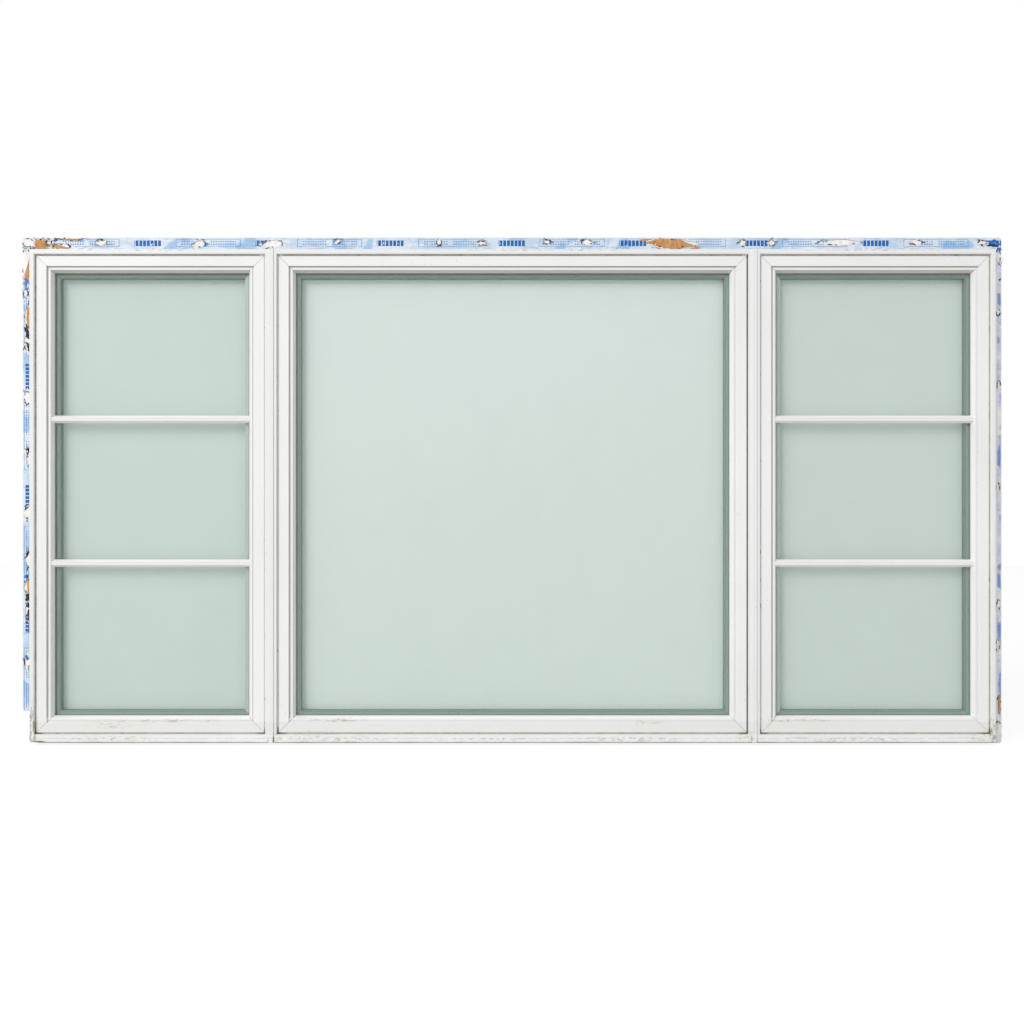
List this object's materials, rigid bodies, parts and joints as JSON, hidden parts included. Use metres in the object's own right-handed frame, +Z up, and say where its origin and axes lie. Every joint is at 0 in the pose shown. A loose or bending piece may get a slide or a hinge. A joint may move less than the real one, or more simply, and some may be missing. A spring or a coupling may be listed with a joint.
{
  "type": "three-light window unit",
  "caption": "Wide picture light between two narrow barred lights in white mitred frames joined by mullion strips, with nailing fins, torn flashing tape and frosted double glazing.",
  "frame": {"origin": "middle of the sill fin's back face, which bears on the wall", "axes": "+X to the right seen from outside, +Y into the wall and the room, +Z up"},
  "size_m": [2.498, 0.088, 1.2895],
  "materials": {
    "vinyl": "white vinyl extrusion, satin, scuffed and stained along the sill",
    "clear_glass": "clear float glass with a green edge",
    "frosted_glass": "obscured pale green glass",
    "spacer": "dull spacer bar and dark edge seal seen through green glass",
    "fin": "white vinyl strip, dirty",
    "tape": "torn pale film with blue bars over kraft paper and black adhesive"
  },
  "bodies": {
    "root": {"left_frame_head": "vinyl", "left_frame_sill": "vinyl", "left_frame_left_jamb": "vinyl", "left_frame_right_jamb": "vinyl", "left_sash_top_rail": "vinyl", "left_sash_bottom_rail": "vinyl", "left_sash_left_stile": "vinyl", "left_sash_right_stile": "vinyl", "left_glazing_beads": "vinyl", "left_outer_pane": "clear_glass", "left_inner_pane": "frosted_glass", "left_spacer": "spacer", "centre_frame_head": "vinyl", "centre_frame_sill": "vinyl", "centre_frame_left_jamb": "vinyl", "centre_frame_right_jamb": "vinyl", "centre_sash_top_rail": "vinyl", "centre_sash_bottom_rail": "vinyl", "centre_sash_left_stile": "vinyl", "centre_sash_right_stile": "vinyl", "centre_glazing_beads": "vinyl", "centre_outer_pane": "clear_glass", "centre_inner_pane": "frosted_glass", "centre_spacer": "spacer", "right_frame_head": "vinyl", "right_frame_sill": "vinyl", "right_frame_left_jamb": "vinyl", "right_frame_right_jamb": "vinyl", "right_sash_top_rail": "vinyl", "right_sash_bottom_rail": "vinyl", "right_sash_left_stile": "vinyl", "right_sash_right_stile": "vinyl", "right_glazing_beads": "vinyl", "right_outer_pane": "clear_glass", "right_inner_pane": "frosted_glass", "right_spacer": "spacer", "left_upper_bar": "vinyl", "left_lower_bar": "vinyl", "right_upper_bar": "vinyl", "right_lower_bar": "vinyl", "left_mullion": "vinyl", "right_mullion": "vinyl", "head_fin": "fin", "left_fin": "fin", "right_fin": "fin", "sill_fin": "fin", "head_tape": "tape", "left_tape": "tape", "right_tape": "tape"}
  },
  "joints": []
}
